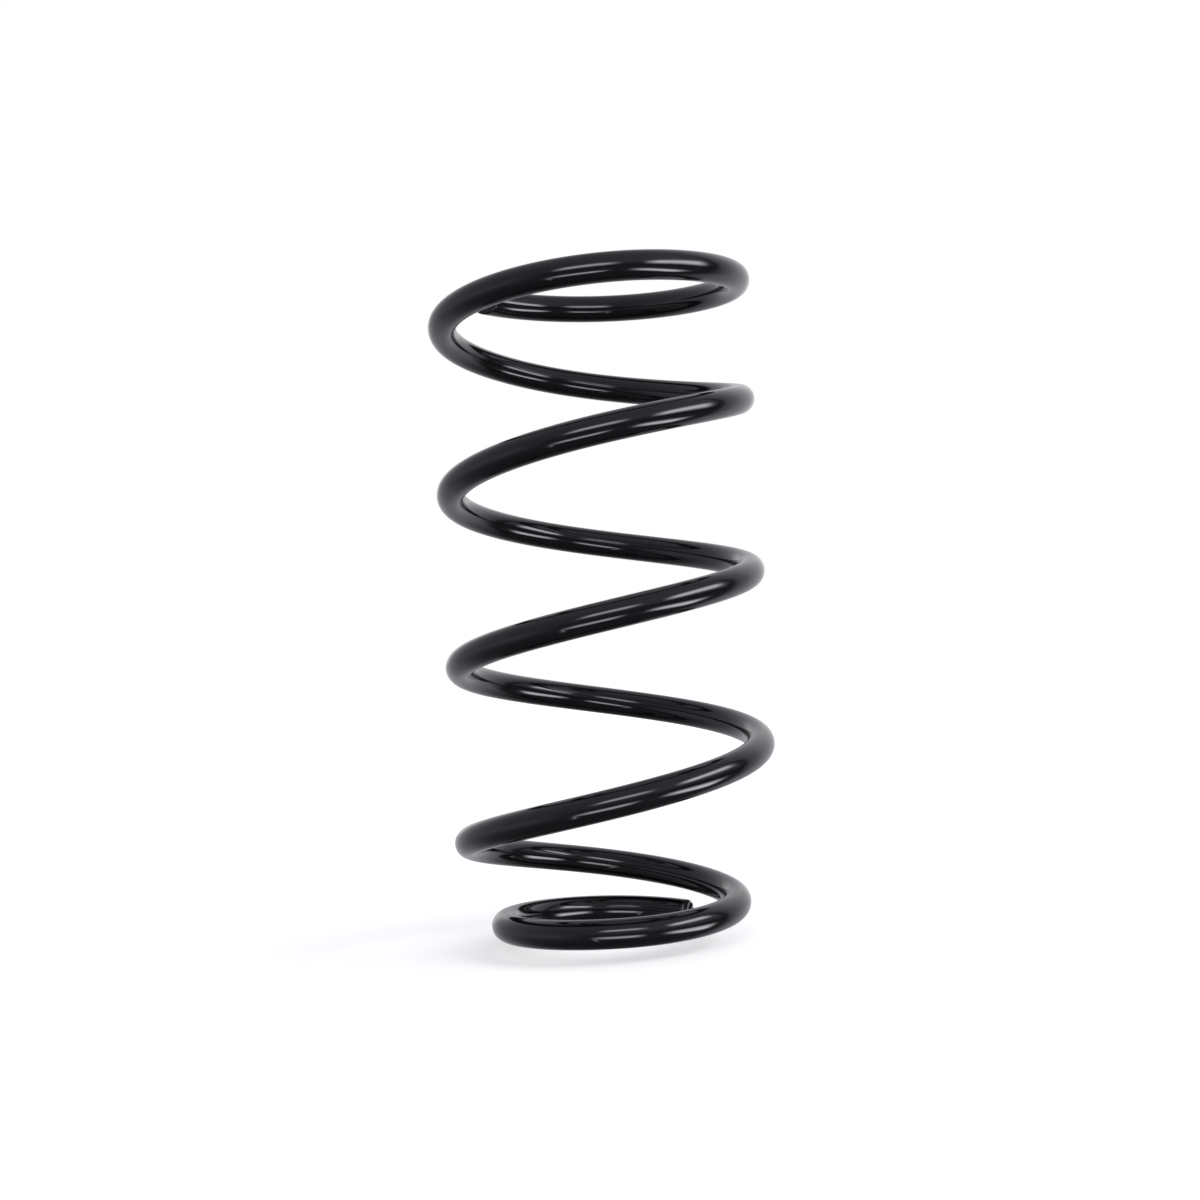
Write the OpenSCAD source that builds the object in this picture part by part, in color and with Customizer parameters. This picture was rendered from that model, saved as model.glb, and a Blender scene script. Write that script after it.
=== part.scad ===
// Suspension coil spring: one length of round steel wire, coiled right-handed, with open ends.
// The wire starts in a reduced lower end coil, widens into the body coils and ends in a
// low-pitched upper end coil. Both ends are cut square across the wire.
// The spring's axis is the Z axis, and the lower tip of the wire stands on Z = 0.

/* [Wire] */
// Diameter of the round wire
wire_d = 13; // [10:0.1:16]
// Width of the bevel round the rim of each cut end
end_bevel = 0.8; // [0.2:0.1:2]

/* [Spring] */
// Unloaded height, from the underside of the lower tip to the top of the upper end coil
free_h = 314.5; // [270:0.5:400]
// Length of the coiled wire in turns, from the lower tip to the upper tip
coil_turns = 5.24; // [5:0.01:7]
// Direction of the lower tip in degrees, anticlockwise from the X axis as seen from above
tip_angle = 53; // [0:1:359]
// Mean diameter of the body coils, from wire centre to wire centre
body_d = 135; // [115:0.5:160]

/* [Lower end coil: diameter] */
// Mean diameter of the reduced end coil
tail_d = 105.5; // [80:0.5:112]
// Turns of wire that keep the reduced diameter
tail_turns = 0.9; // [0.5:0.01:1.1]
// Turns over which the wire widens to the body diameter
widening_turns = 0.42; // [0.3:0.01:0.7]

/* [Lower end coil: pitch] */
// Pitch at the lower tip, in mm a turn
tip_pitch = 26; // [0:0.5:40]
// Turns over which the pitch falls from the tip to the flat of the seat
tip_turns = 0.37; // [0.1:0.01:0.5]
// Pitch of the flat stretch that lies in the seat, in mm a turn
seat_pitch = 5; // [0:0.5:15]
// Turns of that flat stretch
seat_turns = 0.25; // [0.1:0.01:0.4]
// Turns over which the pitch climbs from the flat stretch to the first body coil
climb_turns = 0.68; // [0.5:0.01:0.9]
// Largest pitch, where the first body coil clears the end coil, in mm a turn
first_pitch = 87; // [70:0.5:100]
// Turns over which the pitch settles from there to that of the body coils
settle_turns = 0.36; // [0.2:0.01:0.6]

/* [Upper end coil] */
// Mean diameter at the upper tip
upper_d = 137.5; // [125:0.5:160]
// Turns over which the wire widens from the body diameter to the upper tip
flare_turns = 1; // [0.5:0.05:1.5]
// Pitch of the upper end coil, in mm a turn
upper_pitch = 19; // [14:0.5:40]
// Turns of the upper end coil at that pitch
upper_turns = 0.55; // [0.3:0.01:0.9]
// Turns over which the pitch eases from the body coils to the upper end coil
ease_turns = 0.5; // [0.3:0.01:0.8]

/* [Smoothness] */
// Sides of the wire's cross-section
wire_sides = 20; // [12:1:24]
// Cross-sections in each turn of the wire
rings_per_turn = 50; // [30:1:50]

/* [Hidden] */
wire_r = wire_d / 2;

// Turns of wire from the lower tip to each change of pitch
seat_start = tip_turns;
seat_end = seat_start + seat_turns;
first_coil = seat_end + climb_turns;
body_start = first_coil + settle_turns;
upper_start = coil_turns - upper_turns;
body_end = upper_start - ease_turns;

// Pitch along the wire as [turns, pitch] points, for a given pitch of the body coils
function pitch_points(body) = [
    [0, tip_pitch],
    [seat_start, seat_pitch],
    [seat_end, seat_pitch],
    [first_coil, first_pitch],
    [body_start, body],
    [body_end, body],
    [upper_start, upper_pitch],
    [coil_turns, upper_pitch]
];

// Rise of the wire from the lower tip to t turns, which is the area under the pitch points
function rise(points, t) = total([
    for (i = [1:len(points) - 1])
        let (from = points[i - 1].x, to = max(from, min(t, points[i].x)))
        (to - from) * (lookup(from, points) + lookup(to, points)) / 2
]);
function total(values) = values * [for (v = values) 1];

// The pitch of the body coils is the one that gives the spring its height
end_rise = rise(pitch_points(0), coil_turns);
body_share = rise(pitch_points(1), coil_turns) - end_rise;
body_pitch = (free_h - wire_d - end_rise) / body_share;
pitches = pitch_points(body_pitch);

// Radius of the wire's centre line after t turns
function radius(t) = tail_d / 2
    + (body_d - tail_d) / 2 * s_curve((t - tail_turns) / widening_turns)
    + (upper_d - body_d) / 2 * s_curve((t - coil_turns + flare_turns) / flare_turns);

// Smooth step from 0 to 1 made of two parabolas
function s_curve(u) = u <= 0 ? 0 : u >= 1 ? 1 : u < 0.5 ? 2 * u * u : 1 - 2 * (1 - u) * (1 - u);

// Change of the radius in mm a turn, taken over a short stretch of wire
slope_step = 0.001;
function radius_slope(t) = (radius(t + slope_step) - radius(t - slope_step)) / (2 * slope_step);

// Centre of the wire after t turns, and the direction in which it runs there
function angle(t) = tip_angle + 360 * t;
function outward(t) = [cos(angle(t)), sin(angle(t)), 0];
function around(t) = [-sin(angle(t)), cos(angle(t)), 0];
function centre(t) = radius(t) * outward(t) + [0, 0, wire_r + rise(pitches, t)];
function heading(t) = unit(
    radius_slope(t) * outward(t) + 2 * PI * radius(t) * around(t) + [0, 0, lookup(t, pitches)]
);
function unit(v) = v / norm(v);

// Points of one cross-section of radius r, square to the wire after t turns
function ring(t, r) =
    let (
        middle = centre(t),
        ahead = heading(t),
        side = unit(outward(t) - (outward(t) * ahead) * ahead),
        up = cross(side, ahead)
    )
    [for (k = [0:wire_sides - 1])
        middle + r * (cos(360 * k / wire_sides) * side + sin(360 * k / wire_sides) * up)];

// Turns of wire that each end's bevel takes
lower_bevel_turns = end_bevel / (PI * tail_d);
upper_bevel_turns = end_bevel / (PI * upper_d);
full_turns = coil_turns - lower_bevel_turns - upper_bevel_turns;
steps = round(full_turns * rings_per_turn);

// Cross-sections from tip to tip as [turns, radius], with a smaller one on each end face
stations = [
    [0, wire_r - end_bevel],
    for (i = [0:steps]) [lower_bevel_turns + full_turns * i / steps, wire_r],
    [coil_turns, wire_r - end_bevel]
];

// Solid of a wire that passes through a list of rings with the same number of points
module swept_wire(rings) {
    sides = len(rings[0]);
    last = len(rings) - 1;
    skin = [
        for (i = [0:last - 1], k = [0:sides - 1])
            let (
                a = i * sides + k,
                b = i * sides + (k + 1) % sides
            )
            each [[a, b, b + sides], [a, b + sides, a + sides]]
    ];
    lower_face = [for (k = [sides - 1:-1:0]) k];
    upper_face = [for (k = [0:sides - 1]) last * sides + k];
    polyhedron(points = [for (r = rings) each r], faces = concat([lower_face], skin, [upper_face]));
}

module coil_spring() {
    color([0.07, 0.07, 0.08]) swept_wire([for (s = stations) ring(s.x, s.y)]);
}

coil_spring();
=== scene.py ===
import math

import bpy
import numpy as np
from mathutils import Matrix, Vector


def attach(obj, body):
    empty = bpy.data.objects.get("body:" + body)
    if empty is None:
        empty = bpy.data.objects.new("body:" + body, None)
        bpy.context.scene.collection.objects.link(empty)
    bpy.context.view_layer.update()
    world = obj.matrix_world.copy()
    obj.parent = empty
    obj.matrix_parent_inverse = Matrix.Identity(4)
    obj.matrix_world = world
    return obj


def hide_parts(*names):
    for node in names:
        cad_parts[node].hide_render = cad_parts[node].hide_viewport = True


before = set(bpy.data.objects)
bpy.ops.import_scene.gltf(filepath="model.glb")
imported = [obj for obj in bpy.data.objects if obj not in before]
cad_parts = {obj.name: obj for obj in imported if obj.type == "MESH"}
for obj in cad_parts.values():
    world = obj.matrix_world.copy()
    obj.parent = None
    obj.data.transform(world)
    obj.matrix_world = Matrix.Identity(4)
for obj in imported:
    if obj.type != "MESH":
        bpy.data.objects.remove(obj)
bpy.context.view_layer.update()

print("frame loaded:", ", ".join(sorted(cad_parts)))

mm = 0.001


# Object from points and faces, with smooth or flat shading
def meshObject(name, points, faces, smooth=True):
    mesh = bpy.data.meshes.new(name)
    mesh.from_pydata(points, [], faces)
    mesh.polygons.foreach_set("use_smooth", np.full(len(mesh.polygons), smooth))
    mesh.update()
    made = bpy.data.objects.new(name, mesh)
    bpy.context.scene.collection.objects.link(made)
    return made


# Coil: sizes in metres and turns of wire, counted from the lower tip, as in the CAD part
coil = {
    "wireDiameter": 13 * mm,
    "freeHeight": 314.5 * mm,
    "turns": 5.24,
    "tipAngle": 53,  # direction of the lower tip in degrees
    "bodyDiameter": 135 * mm,
    "tailDiameter": 105.5 * mm,
    "tailTurns": 0.9,
    "wideningTurns": 0.42,
    "upperDiameter": 137.5 * mm,
    "flareTurns": 1.0,
    "tipPitch": 26 * mm,
    "tipTurns": 0.37,
    "seatPitch": 5 * mm,
    "seatTurns": 0.25,
    "climbTurns": 0.68,
    "firstPitch": 87 * mm,
    "settleTurns": 0.36,
    "upperPitch": 19 * mm,
    "upperTurns": 0.55,
    "easeTurns": 0.5,
    "inset": 0.05 * mm,  # keeps the round wire inside the box of the part's many-sided one
    "sides": 64,  # points round the wire
    "ringSpacing": 1.8 * mm,
    "slopeStep": 1e-4,  # turns to either side of a point, to find the wire's direction there
}
wireRadius = coil["wireDiameter"] / 2
skinRadius = wireRadius - coil["inset"]


# Smooth step from 0 to 1 made of two parabolas
def smoothStep(u):
    u = np.clip(u, 0, 1)
    return np.where(u < 0.5, 2 * u * u, 1 - 2 * (1 - u) ** 2)


# Turns at which the pitch changes: tip, seat, climb, body, upper end coil
lowerSpans = [0, coil["tipTurns"], coil["seatTurns"], coil["climbTurns"], coil["settleTurns"]]
upperStart = coil["turns"] - coil["upperTurns"]
upperChanges = [upperStart - coil["easeTurns"], upperStart, coil["turns"]]
pitchTurns = np.append(np.cumsum(lowerSpans), upperChanges)


# Pitch at those turns for a given pitch of the body coils
def pitchValues(bodyPitch):
    return np.array([
        coil["tipPitch"], coil["seatPitch"], coil["seatPitch"], coil["firstPitch"],
        bodyPitch, bodyPitch, coil["upperPitch"], coil["upperPitch"],
    ])


# Rise of the wire after t turns: area under the straight lines between the pitch values
def rise(t, values):
    steps = np.diff(pitchTurns) * (values[1:] + values[:-1]) / 2
    reached = np.concatenate([[0], np.cumsum(steps)])
    at = np.clip(np.searchsorted(pitchTurns, t, side="right") - 1, 0, len(values) - 2)
    here = np.interp(t, pitchTurns, values)
    return reached[at] + (t - pitchTurns[at]) * (values[at] + here) / 2


# The body pitch is the one that brings the top of the wire to the free height
plainRise = rise(coil["turns"], pitchValues(0))
riseShare = rise(coil["turns"], pitchValues(1)) - plainRise
bodyPitch = (coil["freeHeight"] - coil["wireDiameter"] - plainRise) / riseShare
pitches = pitchValues(bodyPitch)


# Radius of the centre line: end coil radius, plus a smooth widening to the body, plus the upper flare
def coilRadius(t):
    widening = smoothStep((t - coil["tailTurns"]) / coil["wideningTurns"])
    flare = smoothStep((t - coil["turns"] + coil["flareTurns"]) / coil["flareTurns"])
    return (
        coil["tailDiameter"] / 2
        + (coil["bodyDiameter"] - coil["tailDiameter"]) / 2 * widening
        + (coil["upperDiameter"] - coil["bodyDiameter"]) / 2 * flare
    )


# Direction of the wire from the axis after t turns: the tip's angle plus a full circle for each turn
def wireAngle(t):
    return np.radians(coil["tipAngle"]) + 2 * np.pi * t


# Centre line after t turns: the coil radius turned about Z, lifted by the rise
def centreLine(t):
    angle, radius = wireAngle(t), coilRadius(t)
    return np.stack([radius * np.cos(angle), radius * np.sin(angle), wireRadius + rise(t, pitches)], -1)


# Vectors divided by their lengths
def unit(v):
    return v / np.linalg.norm(v, axis=-1, keepdims=True)


# Axes of the cross-section after t turns, both square to the wire: outward from the coil, and up
def wireAxes(t):
    step = coil["slopeStep"]
    ahead = unit(centreLine(t + step) - centreLine(t - step))
    angle = wireAngle(t)
    outward = np.stack([np.cos(angle), np.sin(angle), np.zeros_like(angle)], -1)
    side = unit(outward - np.sum(outward * ahead, -1, keepdims=True) * ahead)
    return side, np.cross(side, ahead)


# Point of the wire at t turns, r from the centre line, at an angle from the outward axis:
# centre + r * (cos * side + sin * up)
def wirePoint(t, r, around):
    side, up = wireAxes(t)
    return centreLine(t) + r[..., None] * (
        np.cos(around)[..., None] * side + np.sin(around)[..., None] * up
    )


# Cut ends of the wire, as a shear leaves them under the paint. Pairs are for the lower end and the
# upper one. On a face, outward is away from the coil's axis.
cutEnd = {
    "bevel": 0.8 * mm,
    "bevelRings": 7,
    "faceRings": 16,
    "fineLength": 14 * mm,  # stretch of wire with closer rings
    "fineSpacing": 0.25 * mm,
    "reach": 12 * mm,  # stretch of wire that follows the face's slope
    "setBack": (0.4 * mm, 3.0 * mm),
    "slope": (0.0, 0.4),  # rise of the face outward
    "rollDrop": (0.4 * mm, 0.0),  # fall of the outer edge, where the blade rolled over it
    "rollStart": 3.6 * mm,
    "waveHeight": (0.18 * mm, 0.06 * mm),
    "waveLength": 5.1 * mm,
    "waveCrest": -0.3 * mm,
    "waveFade": (-2 * mm, 2 * mm),  # heights between which the waves begin, over a plain lower part
    "fan": 160.0,  # how much the waves turn away from upright, in 1/m
    "fanStart": -3.6 * mm,
    "fanLevel": 3.6 * mm,
}


# Rings from the middle of a cut face out to the wire's side: distance behind the face and radius.
# The rim is a quarter circle of the bevel's size.
def endRings():
    bevel = cutEnd["bevel"]
    face = np.linspace(0, 1, cutEnd["faceRings"] + 1)[1:-1] * (skinRadius - bevel)
    turn = np.linspace(np.pi / 2, 0, cutEnd["bevelRings"] + 1)
    rim = skinRadius - bevel * (1 - np.cos(turn))
    fine = np.arange(bevel + cutEnd["fineSpacing"], cutEnd["fineLength"], cutEnd["fineSpacing"])
    back = np.concatenate([np.zeros(len(face)), bevel * (1 - np.sin(turn)), fine])
    return back, np.concatenate([face, rim, np.full(len(fine), skinRadius)])


# Height of the cut face over a flat one: a slope, plus waves across its upper part that fan out upward,
# less the square of how far a point lies beyond the start of the rolled edge, and less the set-back
def faceRelief(r, around, end):
    outward, upward = r * np.cos(around), r * np.sin(around)
    start, full = cutEnd["waveFade"]
    lean = np.maximum(outward - cutEnd["fanStart"], 0)
    lean = lean * (np.maximum(upward, start) - cutEnd["fanLevel"])
    phase = 2 * np.pi * (outward - cutEnd["fan"] * lean - cutEnd["waveCrest"]) / cutEnd["waveLength"]
    waves = cutEnd["waveHeight"][end] * np.cos(phase) * smoothStep((upward - start) / (full - start))
    beyond = np.maximum(outward - cutEnd["rollStart"], 0) / (wireRadius - cutEnd["rollStart"])
    rolled = cutEnd["rollDrop"][end] * beyond ** 2
    return cutEnd["slope"][end] * outward + waves - rolled - cutEnd["setBack"][end]


endDiameters = (coil["tailDiameter"], coil["upperDiameter"])


# Turns at which a point of an end lies once the relief has moved it: the relief over the coil's
# circumference there. The move fades along the wire.
def relievedTurns(t, r, around, behind, end):
    ahead = (-1, 1)[end]
    relief = faceRelief(r, around, end) * (1 - smoothStep(behind / cutEnd["reach"]))
    return t + ahead * relief / (np.pi * endDiameters[end])


# The whole wire as one grid: rings of the lower end, of the body, and of the upper end turned round
back, ringRadius = endRings()
endTurns = [back / (np.pi * diameter) for diameter in endDiameters]
lastFine = len(back) - 1
bodyTurns = (endTurns[0][lastFine], coil["turns"] - endTurns[1][lastFine])
bodyLength = (bodyTurns[1] - bodyTurns[0]) * np.pi * coil["bodyDiameter"]
bodyCount = int(bodyLength / coil["ringSpacing"])
bodyRings = np.linspace(*bodyTurns, bodyCount + 2)[1:-1]
turnsAt = np.concatenate([endTurns[0], bodyRings, coil["turns"] - endTurns[1][::-1]])
radiusAt = np.concatenate([ringRadius, np.full(bodyCount, skinRadius), ringRadius[::-1]])
backAt = np.concatenate([back, np.full(bodyCount, cutEnd["reach"]), back[::-1]])

around = np.linspace(np.pi, 3 * np.pi, coil["sides"], endpoint=False)  # from the side nearest the axis
tGrid, aroundGrid = np.meshgrid(turnsAt, around, indexing="ij")
rGrid = np.repeat(radiusAt[:, None], coil["sides"], 1)
backGrid = np.repeat(backAt[:, None], coil["sides"], 1)
half = len(turnsAt) // 2
for end, rows in enumerate((slice(0, half), slice(half, None))):
    tGrid[rows] = relievedTurns(tGrid[rows], rGrid[rows], aroundGrid[rows], backGrid[rows], end)

points = wirePoint(tGrid, rGrid, aroundGrid).reshape(-1, 3)
middleTurns = [relievedTurns(t, 0.0, 0.0, 0.0, end) for end, t in enumerate((0.0, coil["turns"]))]
points = np.vstack([points, centreLine(np.array(middleTurns))])

sides, rings = coil["sides"], len(turnsAt)
ringIndex, sideIndex = np.meshgrid(np.arange(rings - 1), np.arange(sides), indexing="ij")
here = ringIndex * sides + sideIndex
beside = ringIndex * sides + (sideIndex + 1) % sides
quads = np.stack([here, beside, beside + sides, here + sides], -1).reshape(-1, 4).tolist()
side = np.arange(sides)
nextSide = (side + 1) % sides
lastRing = (rings - 1) * sides
lowerMiddle = rings * sides
upperMiddle = lowerMiddle + 1
lowerFan = np.stack([np.full(sides, lowerMiddle), nextSide, side], -1).tolist()
upperFan = np.stack([np.full(sides, upperMiddle), lastRing + side, lastRing + nextSide], -1).tolist()
wire = meshObject("coiledWire", points, quads + lowerFan + upperFan)

# 1 on the two cut faces and 0 on the wire's side, for the paint
onFaces = np.repeat(backAt <= cutEnd["bevel"] / 2, sides)
onFaces = np.concatenate([onFaces, [True, True]]).astype(np.float32)
wire.data.attributes.new("cutFace", "FLOAT", "POINT").data.foreach_set("value", onFaces)

# Map for baking: the wire cut into equal lengths, laid side by side, each opened along the side nearest
# the coil's axis. Across a strip goes the way round the wire, and up it the way along.
bakeMap = {
    "strips": 8,
    "sideMargin": 0.03,  # share of a strip's width
    "endMargin": 0.005,  # share of its length
}
ringSteps = np.hypot(np.diff(radiusAt), np.diff(turnsAt) * 2 * np.pi * coilRadius(turnsAt[1:]))
along = radiusAt[0] + np.concatenate([[0], np.cumsum(ringSteps)])
wholeLength = along[-1] + radiusAt[-1]
stripOf = ((along[:-1] + along[1:]) / 2 / wholeLength * bakeMap["strips"]).astype(int)
stripStarts = along[np.searchsorted(stripOf, np.arange(bakeMap["strips"]))]
stripStarts = np.concatenate([[0], stripStarts[1:], [wholeLength]])


# Place on the map: the strip's number plus the share of the way round, over the number of strips,
# and the share of the strip's length
def mapPlace(strip, turned, length):
    across = bakeMap["sideMargin"] + turned * (1 - 2 * bakeMap["sideMargin"])
    share = (length - stripStarts[strip]) / (stripStarts[strip + 1] - stripStarts[strip])
    high = bakeMap["endMargin"] + share * (1 - 2 * bakeMap["endMargin"])
    return np.stack([(strip + across) / bakeMap["strips"], high], -1).reshape(-1, 2)


quadCorners = np.array([[0, 0], [1, 0], [1, 1], [0, 1]])  # steps round and along from the first one
quadRows = ringIndex.reshape(-1, 1) + quadCorners[:, 1]
quadTurned = (sideIndex.reshape(-1, 1) + quadCorners[:, 0]) / sides
quadPlaces = mapPlace(np.repeat(stripOf[ringIndex].reshape(-1, 1), 4, 1), quadTurned, along[quadRows])
lowerTurned = np.stack([side + 0.5, side + 1, side], -1) / sides
upperTurned = np.stack([side + 0.5, side, side + 1], -1) / sides
lowerLengths = np.tile([0, along[0], along[0]], (sides, 1))
upperLengths = np.tile([wholeLength, along[-1], along[-1]], (sides, 1))
lowerPlaces = mapPlace(np.zeros((sides, 3), int), lowerTurned, lowerLengths)
upperPlaces = mapPlace(np.full((sides, 3), bakeMap["strips"] - 1), upperTurned, upperLengths)
places = np.vstack([quadPlaces, lowerPlaces, upperPlaces])
wire.data.uv_layers.new(name="OFBake").data.foreach_set("uv", places.ravel().astype(np.float32))
print("coiled wire:", len(wire.data.vertices), "points,", len(quads) * 2 + 2 * sides, "triangles")


# Paint: heights of its relief in metres, scales of its patterns in waves a metre
paint = {
    "deepBlack": (0.0012, 0.0012, 0.0014, 1),
    "greyBlack": (0.0028, 0.0027, 0.0031, 1),
    "glossTint": (0.965, 0.93, 1.0, 1),
    "ior": 1.51,
    "roughnessLow": 0.08,
    "roughnessHigh": 0.12,
    "faceRoughness": 0.02,  # added on the cut ends
    "clouds": {"Scale": 45.0, "Detail": 3.0, "Roughness": 0.6},
    "orangePeel": {"Scale": 330.0, "Detail": 1.0, "Roughness": 0.5},
    "peelHeight": 2.5e-6,
    "tornGrain": {"Scale": 1100.0, "Detail": 2.0, "Roughness": 0.6},  # on the cut ends
    "grainHeight": 1.2e-5,
}


# Material with an empty node tree
def newMaterial(name):
    made = bpy.data.materials.new(name)
    made.use_nodes = True
    made.node_tree.nodes.clear()
    return made


# Node with its sockets and settings filled in by name
def addNode(tree, kind, **values):
    made = tree.nodes.new(kind)
    for key, value in values.items():
        if key in made.inputs:
            made.inputs[key].default_value = value
        else:
            setattr(made, key, value)
    return made


# Sets a socket to a number or a colour, or links it to another node's output
def feed(tree, socket, value):
    if isinstance(value, bpy.types.NodeSocket):
        tree.links.new(value, socket)
    else:
        socket.default_value = value


# Result of one operation on numbers or other nodes' outputs
def mathNode(tree, operation, *inputs, clamp=False):
    made = tree.nodes.new("ShaderNodeMath")
    made.operation = operation
    made.use_clamp = clamp
    for socket, value in zip(made.inputs, inputs):
        feed(tree, socket, value)
    return made.outputs[0]


# Share from 0 to 1 as the value goes from start to end, on a straight or a smooth step
def shareNode(tree, value, start, end, smooth=False):
    made = tree.nodes.new("ShaderNodeMapRange")
    made.interpolation_type = "SMOOTHSTEP" if smooth else "LINEAR"
    feed(tree, made.inputs["Value"], value)
    made.inputs["From Min"].default_value = start
    made.inputs["From Max"].default_value = end
    return made.outputs["Result"]


# Colour between two: the first times one less the share, plus the second times the share
def mixColours(tree, share, first, second):
    made = addNode(tree, "ShaderNodeMix", data_type="RGBA")
    for name, value in (("Factor", share), ("A", first), ("B", second)):
        socket = next(s for s in made.inputs if s.name == name and s.enabled)
        feed(tree, socket, value)
    return next(s for s in made.outputs if s.enabled)


blackPaint = newMaterial("glossBlackPaint")
tree = blackPaint.node_tree
place = addNode(tree, "ShaderNodeTexCoord").outputs["Object"]
onFace = addNode(tree, "ShaderNodeAttribute", attribute_name="cutFace").outputs["Fac"]
clouds = addNode(tree, "ShaderNodeTexNoise", **paint["clouds"])
ripples = addNode(tree, "ShaderNodeTexNoise", **paint["orangePeel"])
grain = addNode(tree, "ShaderNodeTexNoise", **paint["tornGrain"])
for pattern in (clouds, ripples, grain):
    tree.links.new(place, pattern.inputs["Vector"])
cloud = clouds.outputs["Fac"]
colour = mixColours(tree, cloud, paint["deepBlack"], paint["greyBlack"])
span = paint["roughnessHigh"] - paint["roughnessLow"]
roughness = mathNode(tree, "MULTIPLY_ADD", cloud, span, paint["roughnessLow"])
roughness = mathNode(tree, "MULTIPLY_ADD", onFace, paint["faceRoughness"], roughness)
peel = mathNode(tree, "MULTIPLY", ripples.outputs["Fac"], paint["peelHeight"])
torn = mathNode(tree, "MULTIPLY", grain.outputs["Fac"], paint["grainHeight"])
torn = mathNode(tree, "MULTIPLY", torn, onFace)
relief = addNode(tree, "ShaderNodeBump", Strength=1.0, Distance=1.0)  # so that heights are in metres
shader = addNode(tree, "ShaderNodeBsdfPrincipled", IOR=paint["ior"])
shader.inputs["Specular Tint"].default_value = paint["glossTint"]
output = addNode(tree, "ShaderNodeOutputMaterial")
tree.links.new(mathNode(tree, "ADD", peel, torn), relief.inputs["Height"])
tree.links.new(colour, shader.inputs["Base Color"])
tree.links.new(roughness, shader.inputs["Roughness"])
tree.links.new(relief.outputs["Normal"], shader.inputs["Normal"])
tree.links.new(shader.outputs["BSDF"], output.inputs["Surface"])
wire.data.materials.append(blackPaint)

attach(wire, "root")
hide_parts("coil_spring")
print("paint: gloss black")


# Camera at the photograph's viewpoint: place in metres, angles in degrees
view = {
    "place": (0, -0.80987, 0.13152),
    "pan": -0.1363,
    "rise": 1.8401,
    "roll": -3.2013,
    "focal": 1766.7 / 1200,  # in picture widths
    "sensor": 36.0,  # in millimetres, as Blender counts it
    "clip": (0.01, 100),
}
pan, tilt, roll = (math.radians(view[key]) for key in ("pan", "rise", "roll"))
forward = Vector((math.sin(pan) * math.cos(tilt), math.cos(pan) * math.cos(tilt), math.sin(tilt)))
level = Vector((math.cos(pan), -math.sin(pan), 0))
upright = level.cross(forward)
right = math.cos(roll) * level + math.sin(roll) * upright
up = math.cos(roll) * upright - math.sin(roll) * level
lens = bpy.data.cameras.new("camera")
lens.sensor_width = view["sensor"]
lens.lens = view["focal"] * view["sensor"]
lens.clip_start, lens.clip_end = view["clip"]
camera = bpy.data.objects.new("camera", lens)
facing = Matrix((right, up, -forward)).transposed().to_4x4()
camera.matrix_world = Matrix.Translation(view["place"]) @ facing
bpy.context.scene.collection.objects.link(camera)
bpy.context.scene.camera = camera
print("camera: lens", round(lens.lens, 2), "mm")


# Lamps in metres: four softboxes, and a narrow upright one below the left end of the lower left one.
# Each is brightest in the middle and fades towards its edges. Bearings are in degrees from the camera's
# side over the right.
lamps = {
    "leftUpper": {
        "centre": (-0.004, -0.696, 0.44), "size": (0.63, 0.31), "bearing": 2.7, "brightness": 5.7,
        "fades": (0.18, 0.18, 0.13, 0.13), "slopes": (0.0, -0.4),
    },
    "leftLower": {
        "centre": (-0.064, -0.699, -0.24), "size": (0.68, 0.31), "bearing": 2.7, "brightness": 6.3,
        "fades": (0.26, 0.19, 0.115, 0.145), "slopes": (0.12, -0.15),
    },
    "leftStand": {
        "centre": (-0.328, -0.712, -0.52), "size": (0.036, 0.5), "bearing": 2.7, "brightness": 4.5,
        "fades": (0.012, 0.012, 0.06, 0.2), "slopes": (0.0, 0.0),
    },
    "rightUpper": {
        "centre": (0.518, -0.304, 0.39), "size": (0.61, 0.36), "bearing": 75.3, "brightness": 9.4,
        "fades": (0.21, 0.12, 0.19, 0.185), "slopes": (-0.2, -0.25),
    },
    "rightLower": {
        "centre": (0.514, -0.325, -0.223), "size": (0.695, 0.36), "bearing": 75.3, "brightness": 9.5,
        "fades": (0.28, 0.165, 0.135, 0.18), "slopes": (0.1, -0.65),
    },
}


# Brightness over a lamp: a smooth step up from each edge, times one plus a slope across and a slope up.
# Fades are for the left, the right, the top and the bottom, as seen from behind the lamp.
def lampNodes(light, size, fades, slopes):
    light.use_nodes = True
    tree = light.node_tree
    tree.nodes.clear()
    axes = addNode(tree, "ShaderNodeSeparateXYZ")
    tree.links.new(addNode(tree, "ShaderNodeNewGeometry").outputs["Parametric"], axes.inputs[0])
    across = mathNode(tree, "MULTIPLY_ADD", axes.outputs["X"], 2.0, -1.0)  # from -1 to 1
    high = mathNode(tree, "MULTIPLY_ADD", axes.outputs["Y"], 2.0, -1.0)
    left = shareNode(tree, across, -1.0, 2 * fades[0] / size[0] - 1, smooth=True)
    right = shareNode(tree, across, 1.0, 1 - 2 * fades[1] / size[0], smooth=True)
    top = shareNode(tree, high, 1.0, 1 - 2 * fades[2] / size[1], smooth=True)
    bottom = shareNode(tree, high, -1.0, 2 * fades[3] / size[1] - 1, smooth=True)
    slope = mathNode(tree, "MULTIPLY_ADD", across, slopes[0], 1.0)
    slope = mathNode(tree, "MULTIPLY_ADD", high, slopes[1], slope)
    edges = mathNode(tree, "MULTIPLY", left, right)
    edges = mathNode(tree, "MULTIPLY", edges, mathNode(tree, "MULTIPLY", top, bottom))
    glow = addNode(tree, "ShaderNodeEmission")
    tree.links.new(mathNode(tree, "MULTIPLY", edges, slope), glow.inputs["Strength"])
    tree.links.new(glow.outputs[0], addNode(tree, "ShaderNodeOutputLight").inputs[0])


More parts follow.
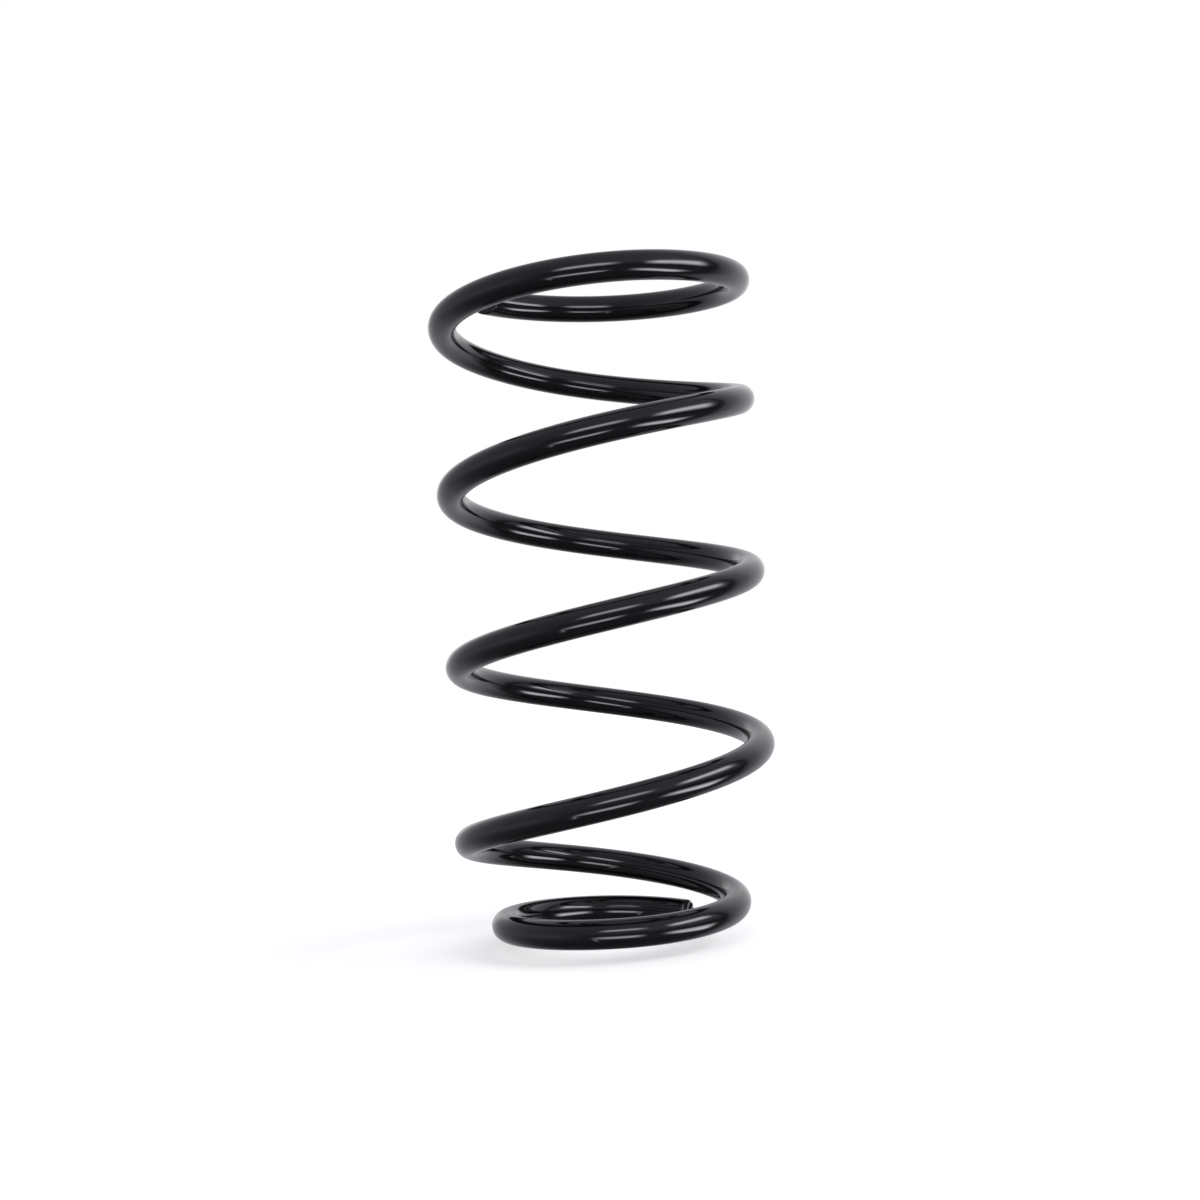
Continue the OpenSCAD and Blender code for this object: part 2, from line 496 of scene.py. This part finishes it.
for name, lamp in lamps.items():
    width, height = lamp["size"]
    light = bpy.data.lights.new(name, "AREA")
    light.shape = "RECTANGLE"
    light.size, light.size_y = width, height
    light.energy = lamp["brightness"] * math.pi * width * height  # gives that brightness as radiance
    lampNodes(light, lamp["size"], lamp["fades"], lamp["slopes"])
    turn = math.radians(lamp["bearing"])
    across = Vector((math.cos(turn), math.sin(turn), 0))
    away = Vector((math.sin(turn), -math.cos(turn), 0))
    made = bpy.data.objects.new(name, light)
    facing = Matrix((across, away.cross(across), away)).transposed().to_4x4()
    made.matrix_world = Matrix.Translation(lamp["centre"]) @ facing
    made.visible_camera = False
    bpy.context.scene.collection.objects.link(made)
print("lamps:", ", ".join(lamps))


# Studio round the spring: brightness by bearing at three heights, and of the ceiling and the floor.
# Bearings are in degrees from the camera's side over the right. Heights are sines of the angle upward,
# where each change from one brightness to the next starts and ends.
studio = {
    "ceiling": 0.52,
    "high": (
        (-180, 0.78), (-150, 0.7), (-120, 0.52), (-60, 0.43), (-42, 0.37), (40, 0.58), (70, 0.75),
        (84, 0.5), (94, 0.62), (98, 0.15), (103, 0.17), (108, 0.65), (117, 0.72), (128, 1.0),
        (150, 1.05), (180, 0.78),
    ),
    "level": (
        (-180, 0.5), (-161, 0.74), (-125, 0.48), (-62, 0.62), (-45, 0.4), (-30, 0.2),
        (92, 0.08), (102, 0.08), (110, 0.6), (130, 1.0), (160, 0.9), (180, 0.5),
    ),
    "low": (
        (-180, 0.5), (-135, 0.45), (-100, 0.22), (-30, 0.18),
        (90, 0.2), (96, 0.13), (109, 0.08), (117, 0.5), (128, 0.87), (180, 0.5),
    ),
    "floor": 0.11,
    "heights": ((-0.85, -0.55), (-0.5, -0.12), (-0.02, 0.3), (0.58, 0.9)),
    "tint": (0.99, 0.965, 1.045),
    "backdropBearings": (150, 158, 166, 174),  # start, full, full, end, either way from the camera
    "backdropHeights": (-0.05, 0.05, 0.4, 0.55),
}
world = bpy.data.worlds.new("studio")
bpy.context.scene.world = world
world.use_nodes = True
tree = world.node_tree
tree.nodes.clear()


# Colour of a brightness: the value times the studio's tint
def tinted(value):
    return (*[value * share for share in studio["tint"]], 1)


# Brightness round the spring at one height, on straight lines from stop to stop
def wallNode(tree, bearing, stops):
    made = tree.nodes.new("ShaderNodeValToRGB")
    tree.links.new(bearing, made.inputs["Fac"])
    elements = made.color_ramp.elements
    for n, (degrees, value) in enumerate(stops):
        stop = elements[n] if n < 2 else elements.new(1.0)  # a new ramp has two
        stop.position = degrees / 360 + 0.5
        stop.color = tinted(value)
    return made.outputs["Color"]


axes = addNode(tree, "ShaderNodeSeparateXYZ")
tree.links.new(addNode(tree, "ShaderNodeTexCoord").outputs["Generated"], axes.inputs[0])
towardsCamera = mathNode(tree, "MULTIPLY", axes.outputs["Y"], -1.0)
bearing = mathNode(tree, "ARCTAN2", axes.outputs["X"], towardsCamera)
bearing = mathNode(tree, "MULTIPLY_ADD", bearing, 0.5 / math.pi, 0.5)  # in circles, 0.5 at the camera
roomLight = tinted(studio["floor"])
layers = [wallNode(tree, bearing, studio[key]) for key in ("low", "level", "high")]
for (start, end), layer in zip(studio["heights"], layers + [tinted(studio["ceiling"])]):
    roomLight = mixColours(tree, shareNode(tree, axes.outputs["Z"], start, end), roomLight, layer)
rays = addNode(tree, "ShaderNodeLightPath")

# The camera sees white all round. Reflections see the same white in two strips of the backdrop behind
# the spring, either side of its middle: smooth steps by bearing, times smooth steps by height.
offMiddle = mathNode(tree, "ABSOLUTE", mathNode(tree, "SUBTRACT", bearing, 0.5))
bearings = [degrees / 360 for degrees in studio["backdropBearings"]]
heights = studio["backdropHeights"]
backdrop = 1.0
for value, stops in ((offMiddle, bearings), (axes.outputs["Z"], heights)):
    for start, end in (stops[:2], stops[:1:-1]):
        edge = shareNode(tree, value, start, end, smooth=True)
        backdrop = mathNode(tree, "MULTIPLY", edge, backdrop)
seen = mathNode(tree, "MULTIPLY", rays.outputs["Is Glossy Ray"], backdrop)
for ray in ("Is Camera Ray", "Is Transmission Ray"):
    seen = mathNode(tree, "ADD", seen, rays.outputs[ray], clamp=True)
background = addNode(tree, "ShaderNodeBackground", Strength=1.0)
tree.links.new(mixColours(tree, seen, roomLight, (1, 1, 1, 1)), background.inputs["Color"])
tree.links.new(background.outputs[0], addNode(tree, "ShaderNodeOutputWorld").inputs["Surface"])


# Floor: pale and matt, and white to the camera where no shadow falls. Its own glow is for the camera
# alone, and grows away from the spring.
floorPlane = {
    "reach": 6.0,
    "paleness": 0.8,
    "glowNear": 0.45,
    "glowFar": 0.75,
    "glowDistances": (0.1, 1.2),
}
reach = floorPlane["reach"]
floorCorners = [(-reach, -reach, 0), (reach, -reach, 0), (reach, reach, 0), (-reach, reach, 0)]
floor = meshObject("floor", floorCorners, [(0, 1, 2, 3)], smooth=False)
paleFloor = newMaterial("paleFloor")
tree = paleFloor.node_tree
fromMiddle = addNode(tree, "ShaderNodeVectorMath", operation="LENGTH")
tree.links.new(addNode(tree, "ShaderNodeTexCoord").outputs["Object"], fromMiddle.inputs[0])
away = shareNode(tree, fromMiddle.outputs["Value"], *floorPlane["glowDistances"])
span = floorPlane["glowFar"] - floorPlane["glowNear"]
strength = mathNode(tree, "MULTIPLY_ADD", away, span, floorPlane["glowNear"])
toCamera = addNode(tree, "ShaderNodeLightPath").outputs["Is Camera Ray"]
matt = addNode(tree, "ShaderNodeBsdfDiffuse", Color=(*[floorPlane["paleness"]] * 3, 1))
glow = addNode(tree, "ShaderNodeEmission", Color=(1, 1, 1, 1))
both = addNode(tree, "ShaderNodeAddShader")
tree.links.new(mathNode(tree, "MULTIPLY", toCamera, strength), glow.inputs["Strength"])
tree.links.new(matt.outputs[0], both.inputs[0])
tree.links.new(glow.outputs[0], both.inputs[1])
tree.links.new(both.outputs[0], addNode(tree, "ShaderNodeOutputMaterial").inputs["Surface"])
floor.data.materials.append(paleFloor)
floor.visible_glossy = False
floor.visible_shadow = False
print("floor and studio ready")

bpy.context.scene.view_settings.view_transform = "Standard"
